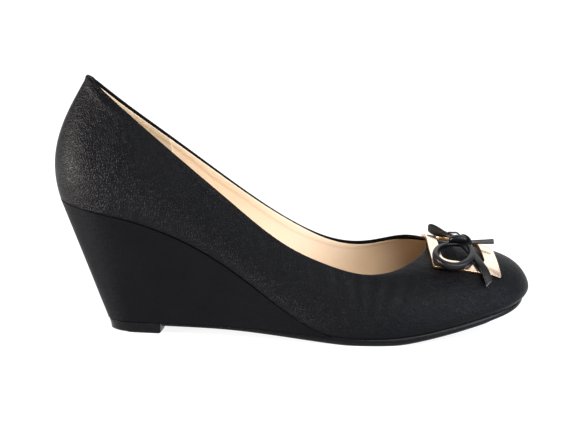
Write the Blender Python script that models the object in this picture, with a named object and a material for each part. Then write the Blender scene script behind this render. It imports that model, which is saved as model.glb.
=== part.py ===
"""Right-foot wedge pump with a metal plate and a strip bow on the vamp.

Lengths are in metres. The shoe stands on the floor at z = 0 with its toe along +X, its lateral
side along -Y and its medial side along +Y. While it is modelled, x runs from the back of the
counter. At the end the shoe is moved so that the origin is under the middle of the top lift.
"""

import math

import bpy
import numpy as np
from mathutils import Matrix, Vector
from mathutils.bvhtree import BVHTree

for old in list(bpy.data.objects):
    bpy.data.objects.remove(old)

# The last
LENGTH = 0.2347          # back of the counter to the tip of the toe
BALL_WIDTH = 0.0765      # across the sole line at the ball
HEEL_HEIGHT = 0.0628     # floor to the sole line, at the back
COUNTER_HEIGHT = 0.0604  # sole line to the top edge, at the back
TOE_SPRING = 0.0135      # how far the sole line lifts from the ball to the toe

# Walls and layers
UPPER_WALL = 0.0018      # leather, stiffener and lining together
INSOLE_THICKNESS = 0.0028
INSOLE_CLEARANCE = 0.0004
INSOLE_BEVEL = 0.0008
SOLE_THICKNESS = 0.0032  # outsole under the forefoot
SHANK_SOLE = 0.0012      # outsole where it meets the top lift
SEAT_GAP = 0.0003        # between pieces that touch

# Wedge, top lift and outsole
LIFT_HEIGHT = 0.0052
WEDGE_LIP = 0.0005       # the wedge stands this far outside the upper
WEDGE_SETBACK = 0.0237   # the foot of the wedge starts this far in front of its top
WEDGE_DRAFT = math.radians(3.0)
FOOT_CORNER = 0.016      # length of the rounding at the back of the wedge's foot
FOOT_SQUARENESS = 3.5
LIFT_LENGTH = 0.0273     # along the side of the top lift
LIFT_ARC = 0.0020        # how far its front bows out
LIFT_BEVEL = 0.0006
LIFT_CLEARANCE = 0.0004  # between the top lift and the outsole
WEDGE_SLOPE = 0.38        # run of the lift's back for each unit of its height
WEDGE_TIP = 0.0005       # thickness of the wedge where it ends
TIP_CLEARANCE = 0.001
SOLE_LIP = 0.0006        # the outsole stands this far outside the upper at the forefoot
SOLE_EDGE = 0.0009       # rounding of the outsole's edge
SHANK_END = 0.080        # from here the outsole runs down to the tread
ARCH_CURVE = 1.45
TREAD_START = 0.143      # the flat spot under the ball
TREAD_END = 0.165
TREAD_BLEND = 0.015

# Plate and bow
PLATE_LENGTH = 0.0318    # along the vamp
PLATE_WIDTH = 0.040      # across the vamp at the plate's back, in plan
PLATE_TAPER = 0.12       # share of that width lost at its front
PLATE_THICKNESS = 0.0011
PLATE_RISE = 0.0006      # of the plate over the vamp, which is rounder than the plate
PLATE_SETBACK = 0.0013   # from the top edge at the throat to the plate
PLATE_MIDDLE = 0.007     # the plate's middle, as a share of BALL_WIDTH to the medial side
PLATE_SPLAY = 0.10       # how far the lateral side sits towards the toe, for each unit across
PLATE_BAND = 0.0064      # of the frame at its back and front
PLATE_SIDE_BAND = 0.0052
PLATE_CORNER = 0.0010
WINDOW_CORNER = 0.0036
STRIP_WIDTH = 0.0040
STRIP_THICKNESS = 0.0026
KNOT_SIZE = (0.0104, 0.0078, 0.0048)

# Mesh density
STEPS = 3                # columns of the upper between two stations
WALL_CELLS = 14          # cells of the upper from sole line to top edge
SOLE_CELLS = 6           # cells across the soles
WEDGE_CELLS = 4          # cells up the side of the wedge
SHANK_RUNGS = 10         # rungs of the outsole under the wedge
LIFT_RUNGS = 10
PLATE_CELLS = 9          # cells along one side of the plate
CORNER_CELLS = 3
STRIP_SIDES = 8

# The sections of the last, from the back to the toe, as shares of the sizes above. along, swing and half
# give the sole line: its place in LENGTH, and its middle and half width in BALL_WIDTH. heel is its
# share of the heel's height and spring its share of TOE_SPRING.
SOLE_LINE = (
    # section          along  swing   half   heel   spring
    ("back",           0.012, 0.000,  0.000, 1.000, 0.00),
    ("counter",        0.037, 0.000,  0.190, 0.982, 0.00),
    ("heel",           0.098, -0.003, 0.286, 0.938, 0.00),
    ("seat",           0.191, -0.009, 0.314, 0.855, 0.00),
    ("shank",          0.311, -0.030, 0.328, 0.660, 0.00),
    ("waist",          0.426, -0.066, 0.348, 0.366, 0.00),
    ("waist front",    0.545, -0.074, 0.418, 0.062, 0.00),
    ("outer ball",     0.640, -0.046, 0.478, 0.000, 0.00),
    ("inner ball",     0.725, -0.010, 0.494, 0.000, 0.04),
    ("little toe",     0.818, 0.014,  0.440, 0.000, 0.29),
    ("toe cap",        0.903, 0.034,  0.336, 0.000, 0.59),
    ("toe corner",     0.962, 0.046,  0.204, 0.000, 0.84),
    ("toe",            0.985, 0.052,  0.000, 0.000, 1.00),
)
# The top edge at the same sections: place in LENGTH, middle and half width in BALL_WIDTH, and height
# above the sole line in COUNTER_HEIGHT, on the lateral and on the medial side.
TOP_LINE = (
    # section          along  swing   half   lateral medial
    ("back",           0.067, 0.000,  0.000, 1.000, 1.000),
    ("counter",        0.087, 0.000,  0.085, 0.967, 0.955),
    ("heel",           0.147, -0.003, 0.170, 0.823, 0.800),
    ("seat",           0.255, -0.008, 0.248, 0.566, 0.561),
    ("shank",          0.375, -0.018, 0.307, 0.384, 0.401),
    ("waist",          0.477, -0.024, 0.346, 0.376, 0.417),
    ("waist front",    0.571, -0.016, 0.376, 0.507, 0.533),
    ("outer ball",     0.652, 0.002,  0.372, 0.487, 0.556),
    ("inner ball",     0.716, 0.022,  0.307, 0.498, 0.606),
    ("little toe",     0.752, 0.032,  0.216, 0.493, 0.581),
    ("toe cap",        0.771, 0.034,  0.122, 0.459, 0.526),
    ("toe corner",     0.779, 0.035,  0.052, 0.432, 0.475),
    ("toe",            0.780, 0.035,  0.000, 0.427, 0.427),
)
# How the wall runs from the sole line to the top edge: bulge in BALL_WIDTH and the share of the
# height where it is largest, how square the shoulder is towards the side and towards the top, and
# the share of the height that the vamp still gains as an even slope.
WALL = (
    # section          bulge  at    side  top   slope
    ("back",           0.100, 0.45, 1.00, 1.00, 0.00),
    ("counter",        0.084, 0.44, 1.00, 1.00, 0.00),
    ("heel",           0.064, 0.45, 1.00, 1.00, 0.00),
    ("seat",           0.054, 0.42, 1.05, 1.05, 0.00),
    ("shank",          0.046, 0.40, 1.10, 1.10, 0.00),
    ("waist",          0.041, 0.38, 1.15, 1.15, 0.00),
    ("waist front",    0.034, 0.35, 1.35, 1.30, 0.00),
    ("outer ball",     0.028, 0.30, 1.65, 1.60, 0.08),
    ("inner ball",     0.028, 0.28, 1.95, 2.10, 0.16),
    ("little toe",     0.031, 0.25, 2.20, 3.00, 0.25),
    ("toe cap",        0.036, 0.25, 2.50, 5.00, 0.29),
    ("toe corner",     0.042, 0.25, 2.70, 7.00, 0.30),
    ("toe",            0.045, 0.25, 2.80, 8.00, 0.30),
)
# The paths of the bow's strips. along is the place from the plate's back edge in PLATE_LENGTH, across the
# place from its middle in PLATE_WIDTH, lift the height above the vamp in STRIP_WIDTH, and wide and
# thick are shares of the strip's own section.
NEAR_LOOP = (
    # along  across  lift  wide  thick
    (0.050, -0.360, 1.02, 0.85, 1.00),
    (0.080, -0.480, 1.08, 0.85, 1.00),
    (0.173, -0.535, 1.14, 0.85, 1.00),
    (0.312, -0.545, 1.16, 0.85, 1.00),
    (0.461, -0.490, 1.14, 0.85, 1.00),
    (0.580, -0.370, 1.08, 0.85, 1.00),
    (0.620, -0.208, 1.02, 0.85, 1.00),
    (0.570, -0.085, 0.98, 0.85, 0.90),
    (0.441, -0.044, 0.96, 0.80, 0.80),
    (0.280, -0.086, 0.98, 0.85, 0.90),
    (0.140, -0.195, 1.00, 0.85, 1.00),
)
FAR_LOOP = (
    (0.440, 0.030, 1.00, 0.60, 0.70),
    (0.380, 0.045, 0.94, 0.64, 0.75),
    (0.300, 0.105, 0.94, 0.82, 0.75),
    (0.205, 0.185, 1.00, 0.96, 0.75),
    (0.120, 0.275, 1.08, 1.02, 0.75),
    (0.092, 0.350, 1.13, 1.02, 0.75),
    (0.140, 0.400, 1.08, 0.96, 0.75),
    (0.240, 0.360, 0.98, 0.84, 0.75),
    (0.350, 0.260, 0.92, 0.72, 0.75),
    (0.450, 0.130, 0.94, 0.62, 0.75),
)
FRONT_TAIL = (
    (0.470, 0.050, 1.00, 0.80, 0.85),
    (0.640, 0.066, 1.00, 0.85, 0.90),
    (0.810, 0.068, 1.12, 0.88, 0.95),
    (0.920, 0.066, 1.27, 0.88, 0.97),
    (1.025, 0.062, 1.45, 0.90, 1.00),
)
NEAR_TAIL = (
    (0.460, 0.020, 1.00, 0.70, 0.75),
    (0.540, -0.115, 0.86, 0.85, 0.70),
    (0.610, -0.245, 0.82, 0.95, 0.65),
    (0.664, -0.355, 0.82, 1.00, 0.60),
    (0.722, -0.465, 0.88, 1.00, 0.60),
    (0.776, -0.560, 1.00, 0.98, 0.58),
    (0.806, -0.640, 1.20, 0.92, 0.55),
)
LATERAL, MEDIAL = -1.0, 1.0


def sole_base():
    """Height of the sole line over the flat spot of the tread."""
    return SOLE_THICKNESS + SEAT_GAP


def station(index, side):
    """One station of the last as a row: sole line x y z, top edge x y z, and the wall's five numbers."""
    _, along, swing, half, heel, spring = SOLE_LINE[index]
    _, top_along, top_swing, top_half, lateral, medial = TOP_LINE[index]
    rise = lateral if side == LATERAL else medial
    height = sole_base() + heel * (HEEL_HEIGHT - sole_base()) + spring * TOE_SPRING
    bulge, *shape = WALL[index][1:]
    return [
        along * LENGTH,
        (swing + side * half) * BALL_WIDTH,
        height,
        top_along * LENGTH,
        (top_swing + side * top_half) * BALL_WIDTH,
        height + rise * COUNTER_HEIGHT,
        bulge * BALL_WIDTH,
        *shape,
    ]


def stations():
    """All stations once round the shoe: the back, up the lateral side, the toe, down the medial side."""
    last = len(SOLE_LINE) - 1
    lateral = [station(index, LATERAL) for index in range(last + 1)]
    medial = [station(index, MEDIAL) for index in range(last - 1, 0, -1)]
    return np.array(lateral + medial)


def closed_spline(rows, steps):
    """A smooth closed curve through the rows, as steps points for each span."""
    count = len(rows)
    ring = np.roll(np.eye(count), 1, axis=0) + np.roll(np.eye(count), -1, axis=0)
    bend = np.linalg.solve(ring + 4 * np.eye(count), 6 * (ring @ rows - 2 * rows))
    found = []
    for index in range(count):
        after = (index + 1) % count
        for step in range(steps):
            u = step / steps
            w = 1 - u
            found.append(
                w * rows[index]
                + u * rows[after]
                + (w**3 - w) / 6 * bend[index]
                + (u**3 - u) / 6 * bend[after]
            )
    return np.array(found)


def outward(loop):
    """Unit vectors in plan that point out of a closed loop of points, run back, lateral, toe, medial."""
    along = np.roll(loop, -1, axis=0) - np.roll(loop, 1, axis=0)
    out = np.stack([along[:, 1], -along[:, 0], np.zeros(len(loop))], axis=1)
    return out / np.linalg.norm(out, axis=1, keepdims=True)


def wall_profile(row, out, cells):
    """The wall's outer line from the sole line to the top edge at one station, as evenly spaced points."""
    start, end = row[0:3], row[3:6]
    bulge, at, side, top, slope = row[6:]
    turn = np.linspace(0, math.pi / 2, 12 * cells + 1)
    inward = 1 - np.cos(turn) ** (2 / top)
    upward = np.sin(turn) ** (2 / side)
    stand = bulge * np.sin(math.pi * upward ** (math.log(0.5) / math.log(at)))
    height = (1 - slope) * upward + slope * inward
    points = start + np.outer(inward, (end - start) * [1, 1, 0]) + np.outer(stand, out)
    points[:, 2] += height * (end - start)[2]
    run = np.concatenate([[0], np.cumsum(np.linalg.norm(np.diff(points, axis=0), axis=1))])
    even = np.linspace(0, run[-1], cells + 1)
    return np.stack([np.interp(even, run, points[:, axis]) for axis in range(3)], axis=1)


def upper_walls():
    """The upper's outer and inner wall as grids of points, [column round the shoe, row up the wall]."""
    rows = closed_spline(stations(), STEPS)
    out = outward(rows[:, 0:3])
    outer = np.array([wall_profile(row, normal, WALL_CELLS) for row, normal in zip(rows, out)])
    round_shoe = np.roll(outer, -1, axis=0) - np.roll(outer, 1, axis=0)
    up_wall = np.gradient(outer, axis=1)
    normal = np.cross(round_shoe, up_wall)
    normal /= np.linalg.norm(normal, axis=2, keepdims=True)
    normal[:, 0] = out
    return outer, outer - UPPER_WALL * normal


def make_object(name, points, faces, material, crease_angle=40.0):
    """A named object from points and faces, shaded smooth up to the crease angle."""
    mesh = bpy.data.meshes.new(name)
    mesh.from_pydata([tuple(point) for point in points], [], faces)
    mesh.materials.append(material)
    mesh.shade_smooth()
    mesh.set_sharp_from_angle(angle=math.radians(crease_angle))
    made = bpy.data.objects.new(name, mesh)
    bpy.context.scene.collection.objects.link(made)
    return made


def make_material(name, colour, roughness, metallic=0.0):
    material = bpy.data.materials.new(name)
    material.use_nodes = True
    shader = material.node_tree.nodes["Principled BSDF"]
    shader.inputs["Base Color"].default_value = (*colour, 1.0)
    shader.inputs["Roughness"].default_value = roughness
    shader.inputs["Metallic"].default_value = metallic
    return material


def make_upper(material):
    """The upper: outer and inner wall, joined along the sole line and round the top edge."""
    outer, inner = upper_walls()
    columns, rows = outer.shape[:2]

    def corner(wall, column, row):
        return (wall * columns + column % columns) * rows + row

    faces = []
    for column in range(columns):
        after = column + 1
        for row in range(rows - 1):
            faces.append([corner(0, *at) for at in ((column, row), (after, row), (after, row + 1), (column, row + 1))])
            faces.append([corner(1, *at) for at in ((column, row), (column, row + 1), (after, row + 1), (after, row))])
        faces.append([corner(0, after, 0), corner(0, column, 0), corner(1, column, 0), corner(1, after, 0)])
        top = rows - 1
        faces.append([corner(0, column, top), corner(0, after, top), corner(1, after, top), corner(1, column, top)])
    points = np.concatenate([outer.reshape(-1, 3), inner.reshape(-1, 3)])
    return make_object("upper", points, faces, material)



def sole_columns():
    """The sole line's lateral and medial points, paired from the back to the toe, and their outward directions."""
    line = closed_spline(stations(), STEPS)[:, 0:3]
    out = outward(line)
    lateral = list(range(len(line) // 2 + 1))
    medial = [-index % len(line) for index in lateral]
    return line[lateral], line[medial], out[lateral], out[medial]


def height_at(x):
    """Height of the sole line at a place along the shoe."""
    lateral = sole_columns()[0]
    return np.interp(x, lateral[:, 0], lateral[:, 2])


def tread_height(x):
    """Height of the outsole's underside: up over the arch, flat under the ball, up again to the toe."""
    arch = LIFT_HEIGHT - SHANK_SOLE
    down = np.clip((x - SHANK_END) / (TREAD_START - SHANK_END), 0, 1) ** ARCH_CURVE
    up = np.clip((x - TREAD_END) / TREAD_BLEND, 0, 1)
    return arch * (1 - down) + up * up * (3 - 2 * up) * np.maximum(height_at(x) - sole_base(), 0)


def wedge_underside(x):
    """Height of the wedge's underside, over the top lift and over the outsole."""
    share = np.clip((x - SHANK_END) / (TREAD_START - SHANK_END), 0, 1)
    return tread_height(x) + SHANK_SOLE + share * (SOLE_THICKNESS - SHANK_SOLE) + SEAT_GAP


def wedge_tip():
    """Where the wedge runs out between the upper and the outsole."""
    x = np.linspace(SHANK_END, TREAD_START, 400)
    thick = height_at(x) - SEAT_GAP - wedge_underside(x)
    return float(x[np.argmax(thick < WEDGE_TIP)])


def foot_back():
    """Where the wedge's underside starts."""
    return SOLE_LINE[0][1] * LENGTH - WEDGE_LIP + WEDGE_SETBACK


def foot_outline(x, back, drop=0.0):
    """Lateral and medial y of the wedge's foot at x, drop below its underside, with round back corners."""
    lateral, medial, _, _ = sole_columns()
    over = np.maximum(height_at(x) - LIFT_HEIGHT, 0) * (x < TREAD_START)
    draft = math.tan(WEDGE_DRAFT) * (over + drop) - WEDGE_LIP
    reach = np.clip((x - back) / FOOT_CORNER, 0, 1)
    corner = (1 - (1 - reach) ** FOOT_SQUARENESS) ** (1 / FOOT_SQUARENESS)
    left = (np.interp(x, lateral[:, 0], lateral[:, 1]) + draft) * corner
    right = (np.interp(x, medial[:, 0], medial[:, 1]) - draft) * corner
    return left, right


def in_plan(x, y):
    return np.stack([x, y, np.zeros(len(x))], axis=1)


def slab(name, levels, material, bowed=None, bow=0.0, crease_angle=40.0):
    """A closed block from stacked levels, bottom first.

    Each level is a pair of point rows, lateral and medial. Where their ends meet, the block ends in
    a point in plan. The middle of the rung bowed is pushed by bow along x.
    """
    rungs = len(levels[0][0])
    pointed = [rung for rung in (0, rungs - 1) if np.allclose(levels[0][0][rung], levels[0][1][rung])]
    points, grids = [], []
    for lateral, medial in levels:
        grid = []
        for rung in range(rungs):
            row = []
            for cell in range(1 if rung in pointed else SOLE_CELLS + 1):
                share = cell / SOLE_CELLS
                point = (1 - share) * lateral[rung] + share * medial[rung]
                if rung == bowed:
                    point = point + [bow * (1 - (2 * share - 1) ** 2), 0, 0]
                row.append(len(points))
                points.append(point)
            grid.append(row * (SOLE_CELLS + 1) if rung in pointed else row)
        grids.append(grid)

    def cap(grid):
        for back, front in zip(grid, grid[1:]):
            for cell in range(SOLE_CELLS):
                yield list(dict.fromkeys([back[cell], front[cell], front[cell + 1], back[cell + 1]]))

    def rim(grid):
        round_shoe = [row[0] for row in grid] + grid[-1][1:] + [row[-1] for row in grid[-2::-1]] + grid[0][-2:0:-1]
        return list(dict.fromkeys(round_shoe))

    faces = [face[::-1] for face in cap(grids[0])] + list(cap(grids[-1]))
    for below, above in zip(grids, grids[1:]):
        low, high = rim(below), rim(above)
        for index, corner in enumerate(low):
            after = (index + 1) % len(low)
            faces.append([corner, low[after], high[after], high[index]])
    used = sorted({corner for face in faces for corner in face})
    place = {corner: index for index, corner in enumerate(used)}
    faces = [[place[corner] for corner in face] for face in faces]
    return make_object(name, [points[corner] for corner in used], faces, material, crease_angle)


def make_insole(material):
    """The insole lies inside the wall, on the wedge and the outsole."""
    lateral, medial, out_lateral, out_medial = sole_columns()
    levels = []
    for share, inset in ((0.0, 0.0), (0.6, 0.0), (1.0, INSOLE_BEVEL)):
        side = UPPER_WALL + INSOLE_CLEARANCE + inset
        rows = []
        for line, out in ((lateral, out_lateral), (medial, out_medial)):
            row = line - side * out
            row[:, 2] = height_at(row[:, 0]) + share * INSOLE_THICKNESS
            rows.append(row)
        levels.append(rows)
    return slab("insole", levels, material)


def make_wedge(material):
    """The wedge stands just outside the upper at its top and narrows down to its foot."""
    lateral, medial, out_lateral, out_medial = sole_columns()
    tip = wedge_tip()
    kept = lateral[:, 0] < tip - TIP_CLEARANCE
    tops = []
    for line, out in ((lateral, out_lateral), (medial, out_medial)):
        row = (line + WEDGE_LIP * out)[kept]
        side = np.interp(tip, line[:, 0], line[:, 1]) + WEDGE_LIP * out[kept][-1][1]
        row = np.concatenate([row, [[tip, side, 0]]])
        row[:, 2] = height_at(row[:, 0]) - SEAT_GAP
        tops.append(row)
    share = np.append(lateral[kept, 0], tip) - lateral[0, 0]
    places = foot_back() + share / share[-1] * (tip - foot_back())
    feet = []
    for y in foot_outline(places, foot_back()):
        row = in_plan(places, y)
        row[:, 2] = wedge_underside(places)
        feet.append(row)
    levels = []
    for level in np.linspace(0, 1, WEDGE_CELLS + 1):
        levels.append([(1 - level) * foot + level * top for foot, top in zip(feet, tops)])
    return slab("wedge", levels, material)


def make_top_lift(material):
    """The top lift under the heel, with a round back and a front that bows out."""
    places = np.sin(np.linspace(0, 1, LIFT_RUNGS + 1) ** 1.5 * math.pi / 2)
    levels = []
    for height, inset in ((0.0, LIFT_BEVEL), (LIFT_BEVEL, 0.0), (LIFT_HEIGHT, 0.0)):
        drop = LIFT_HEIGHT - height
        back = foot_back() + WEDGE_SLOPE * drop + inset
        front = foot_back() + LIFT_LENGTH - inset
        x = back + places * (front - back)
        left, right = foot_outline(x, back, drop)
        rows = [in_plan(x, left + inset), in_plan(x, right - inset)]
        for row in rows:
            row[0, 1] = 0.0
            row[:, 2] = height
        levels.append(rows)
    return slab("top_lift", levels, material, bowed=LIFT_RUNGS, bow=LIFT_ARC)


def make_outsole(material):
    """The outsole, from the front of the top lift to the toe, with a rounded edge."""
    lateral, medial, out_lateral, out_medial = sole_columns()
    tip = wedge_tip()
    rear = foot_back() + LIFT_LENGTH + LIFT_CLEARANCE
    behind = np.linspace(rear + 2 * LIFT_ARC, tip, SHANK_RUNGS)
    behind = np.concatenate([[rear], behind, [tip + TIP_CLEARANCE / 2]])
    front = lateral[:, 0] > tip + TIP_CLEARANCE
    rows, outs = [], []
    for line, out, y, side in (
        (lateral, out_lateral, foot_outline(behind, foot_back())[0], LATERAL),
        (medial, out_medial, foot_outline(behind, foot_back())[1], MEDIAL),
    ):
        rows.append(np.concatenate([in_plan(behind, y), (line + SOLE_LIP * out)[front]]))
        outs.append(np.concatenate([np.tile([0, side, 0], (len(behind), 1)), out[front]]))
    x = np.concatenate([behind, lateral[front, 0]])
    bottom = tread_height(x)
    top = np.where(x <= tip, wedge_underside(x), height_at(x)) - SEAT_GAP
    levels = []
    for share, inset in ((0.0, 1.0), (0.22, 0.25), (0.5, 0.0), (0.78, 0.1), (1.0, 0.5)):
        level = []
        for row, out in zip(rows, outs):
            edge = row - (inset * SOLE_EDGE * (top - bottom) / SOLE_THICKNESS)[:, None] * out
            edge[:, 2] = bottom + share * (top - bottom)
            level.append(edge)
        levels.append(level)
    return slab("outsole", levels, material, bowed=0, bow=LIFT_ARC)


def vamp_point(vamp, x, y, rise=0.0):
    """The point that stands rise off the vamp, over a place in plan."""
    step = 0.08 * PLATE_WIDTH

    def height(at_x, at_y):
        found = vamp.ray_cast(Vector((at_x, at_y, HEEL_HEIGHT + COUNTER_HEIGHT)), Vector((0, 0, -1)))[0]
        return found.z if found else height_at(at_x) + UPPER_WALL

    middle = height(x, y)
    slope_x = (height(x + step, y) - middle) / step
    slope_y = (height(x, y + step) - height(x, y - step)) / (2 * step)
    normal = Vector((-slope_x, -slope_y, 1)).normalized()
    return Vector((x, y, middle)) + rise * normal


def over_vamp(along, across):
    """Where a place on the plate is in plan. along runs from its back edge, across from its middle."""
    x = TOP_LINE[-1][1] * LENGTH + PLATE_SETBACK + along * PLATE_LENGTH - PLATE_SPLAY * across * PLATE_WIDTH
    y = PLATE_MIDDLE * BALL_WIDTH + across * PLATE_WIDTH * (1 - PLATE_TAPER * along)
    return x, y


def rounded_rectangle(half_along, half_across, radius):
    """A loop of points with round corners, the same number of them for any size."""
    corners = ((1, 1, 0), (-1, 1, 1), (-1, -1, 2), (1, -1, 3))
    loop = []
    for (side_along, side_across, quarter), (next_along, next_across, _) in zip(corners, corners[1:] + corners[:1]):
        for cell in range(CORNER_CELLS + 1):
            turn = (quarter + cell / CORNER_CELLS) * math.pi / 2
            middle = (side_along * (half_along - radius), side_across * (half_across - radius))
            loop.append((middle[0] + radius * math.cos(turn), middle[1] + radius * math.sin(turn)))
        start = loop[-1]
        turn = (quarter + 1) * math.pi / 2
        end = (
            next_along * (half_along - radius) + radius * math.cos(turn),
            next_across * (half_across - radius) + radius * math.sin(turn),
        )
        for cell in range(1, PLATE_CELLS):
            share = cell / PLATE_CELLS
            loop.append(tuple((1 - share) * start[axis] + share * end[axis] for axis in range(2)))
    return loop


def make_plate(vamp, material):
    """The metal frame, bent over the vamp."""
    loops = []
    for share in (0.0, 0.5, 1.0):
        half_along = PLATE_LENGTH / 2 - share * PLATE_BAND
        half_across = PLATE_WIDTH / 2 - share * PLATE_SIDE_BAND
        corner = PLATE_CORNER + share * (WINDOW_CORNER - PLATE_CORNER)
        loops.append(rounded_rectangle(half_along, half_across, corner))
    points = []
    for rise in (PLATE_RISE, PLATE_RISE + PLATE_THICKNESS):
        for loop in loops:
            for along, across in loop:
                x, y = over_vamp(0.5 + along / PLATE_LENGTH, across / PLATE_WIDTH)
                points.append(vamp_point(vamp, x, y, rise))
    count = len(loops[0])
    rings = [list(range(ring * count, (ring + 1) * count)) for ring in range(6)]
    around = rings[2::-1] + rings[3:6]
    faces = []
    for ring, after in zip(around, around[1:] + around[:1]):
        for index in range(count):
            step = (index + 1) % count
            faces.append([ring[index], ring[step], after[step], after[index]])
    return make_object("vamp_plate", points, faces, material, 30.0)


def strip_path(vamp, table):
    """The middle line of a strip and the size of its section, a row for each point."""
    rows = []
    for along, across, lift, wide, thick in table:
        x, y = over_vamp(along, across)
        height = vamp_point(vamp, x, y).z + lift * STRIP_WIDTH
        rows.append([x, y, height, wide * STRIP_WIDTH, thick * STRIP_THICKNESS])
    return np.array(rows)


def open_spline(rows, steps):
    """A smooth curve through the rows with free ends."""
    count = len(rows)
    system, bend = np.eye(count), np.zeros_like(rows)
    for index in range(1, count - 1):
        system[index, index - 1 : index + 2] = (1, 4, 1)
        bend[index] = 6 * (rows[index - 1] - 2 * rows[index] + rows[index + 1])
    bend = np.linalg.solve(system, bend)
    found = []
    for index in range(count - 1):
        for step in range(steps):
            u = step / steps
            w = 1 - u
            found.append(
                w * rows[index]
                + u * rows[index + 1]
                + (w**3 - w) / 6 * bend[index]
                + (u**3 - u) / 6 * bend[index + 1]
            )
    found.append(rows[-1])
    return np.array(found)


def make_strip(name, rows, facing, closed, material):
    """A strip with a rounded section along a path. facing is the way its width points."""
    path = rows[:, 0:3]
    if closed:
        along = np.roll(path, -1, axis=0) - np.roll(path, 1, axis=0)
    else:
        along = np.gradient(path, axis=0)
    along /= np.linalg.norm(along, axis=1, keepdims=True)
    wide = facing - (along @ facing)[:, None] * along
    wide /= np.linalg.norm(wide, axis=1, keepdims=True)
    thick = np.cross(along, wide)
    points = []
    for row, wide_way, thick_way in zip(rows, wide, thick):
        for side in range(STRIP_SIDES):
            turn = (side + 0.5) / STRIP_SIDES * math.tau
            reach = [math.copysign(abs(part) ** 0.7, part) for part in (math.cos(turn), math.sin(turn))]
            points.append(row[0:3] + row[3] / 2 * reach[0] * wide_way + row[4] / 2 * reach[1] * thick_way)
    rings = [list(range(index, index + STRIP_SIDES)) for index in range(0, len(points), STRIP_SIDES)]
    faces = []
    for ring, after in zip(rings, rings[1:] + (rings[:1] if closed else [])):
        for side in range(STRIP_SIDES):
            step = (side + 1) % STRIP_SIDES
            faces.append([ring[side], ring[step], after[step], after[side]])
    if not closed:
        faces += [rings[0][::-1], rings[-1]]
    return make_object(name, points, faces, material)


def make_knot(vamp, material):
    """The knot, a rounded lump whose sides are flatter than an egg's."""
    x, y = over_vamp(0.455, 0.045)
    rise = PLATE_RISE + PLATE_THICKNESS + SEAT_GAP + KNOT_SIZE[2] / 2
    middle = vamp_point(vamp, x, y, rise)
    rows, sides = 8, 14
    points, rings = [], []
    for row in range(rows + 1):
        ring = []
        up = -math.pi / 2 + row / rows * math.pi
        for side in range(1 if row in (0, rows) else sides):
            turn = side / sides * math.tau
            reach = (math.cos(up) * math.cos(turn), math.cos(up) * math.sin(turn), math.sin(up))
            reach = [math.copysign(abs(part) ** 0.8, part) for part in reach]
            ring.append(len(points))
            points.append(middle + Vector([size / 2 * part for size, part in zip(KNOT_SIZE, reach)]))
        rings.append(ring * sides if row in (0, rows) else ring)
    faces = []
    for ring, after in zip(rings, rings[1:]):
        for side in range(sides):
            step = (side + 1) % sides
            faces.append(list(dict.fromkeys([ring[side], ring[step], after[step], after[side]])))
    return make_object("bow", points, faces, material)


def make_bow(vamp, material):
    """The bow: two loops and two tails of one strip, joined in the knot."""
    bow = make_knot(vamp, material)
    strips = [
        make_strip("loop", closed_spline(strip_path(vamp, NEAR_LOOP), 3), np.array([0, -0.45, 0.9]), True, material),
        make_strip("loop", closed_spline(strip_path(vamp, FAR_LOOP), 3), np.array([0, 0, 1.0]), True, material),
        make_strip("tail", open_spline(strip_path(vamp, FRONT_TAIL), 3), np.array([0, 1.0, 0]), False, material),
        make_strip("tail", open_spline(strip_path(vamp, NEAR_TAIL), 3), np.array([1.0, 0.3, 0]), False, material),
    ]
    for strip in strips:
        join = bow.modifiers.new("join", "BOOLEAN")
        join.operation = "UNION"
        join.solver = "EXACT"
        join.object = strip
        bpy.context.view_layer.update()
        joined = bpy.data.meshes.new_from_object(bow.evaluated_get(bpy.context.evaluated_depsgraph_get()))
        bow.modifiers.remove(join)
        bow.data = joined
        bpy.data.objects.remove(strip)
    bow.data.name = "bow"
    return bow


def main():
    leather = make_material("black_leather", (0.016, 0.016, 0.018), 0.55)
    cover = make_material("black_wedge_cover", (0.018, 0.018, 0.020), 0.5)
    lining = make_material("beige_lining", (0.62, 0.46, 0.32), 0.6)
    rubber = make_material("black_rubber", (0.02, 0.02, 0.022), 0.5)
    gold = make_material("rose_gold", (0.88, 0.66, 0.42), 0.25, 1.0)
    strip = make_material("black_strip", (0.018, 0.018, 0.020), 0.5)
    upper = make_upper(leather)
    vamp = BVHTree.FromPolygons([point.co for point in upper.data.vertices], [face.vertices for face in upper.data.polygons])
    parts = [
        upper,
        make_insole(lining),
        make_wedge(cover),
        make_outsole(rubber),
        make_top_lift(rubber),
        make_plate(vamp, gold),
        make_bow(vamp, strip),
    ]
    lift_middle = foot_back() + LIFT_LENGTH / 2
    for part in parts:
        part.data.transform(Matrix.Translation((-lift_middle, 0, 0)))


main()
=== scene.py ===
import math

import bmesh
import bpy
from mathutils import Matrix, Vector


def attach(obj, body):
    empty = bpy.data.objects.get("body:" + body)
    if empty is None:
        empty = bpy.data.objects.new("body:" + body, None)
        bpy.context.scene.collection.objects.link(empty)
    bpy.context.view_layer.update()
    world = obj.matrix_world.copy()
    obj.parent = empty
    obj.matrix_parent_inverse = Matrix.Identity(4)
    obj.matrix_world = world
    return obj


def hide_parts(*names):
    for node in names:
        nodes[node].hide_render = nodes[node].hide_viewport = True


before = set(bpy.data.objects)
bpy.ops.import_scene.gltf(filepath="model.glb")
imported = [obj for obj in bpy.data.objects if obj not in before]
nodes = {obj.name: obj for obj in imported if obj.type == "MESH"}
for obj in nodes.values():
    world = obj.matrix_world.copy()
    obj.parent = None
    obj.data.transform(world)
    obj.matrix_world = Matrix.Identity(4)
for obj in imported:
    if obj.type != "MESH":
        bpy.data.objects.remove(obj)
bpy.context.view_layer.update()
bpy.ops.object.select_all(action="DESELECT")

# Table. A sheet of opal acrylic, lit softly from below so that it stays white
# under the shoe. Far behind it slopes up, so that no edge shows.


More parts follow.
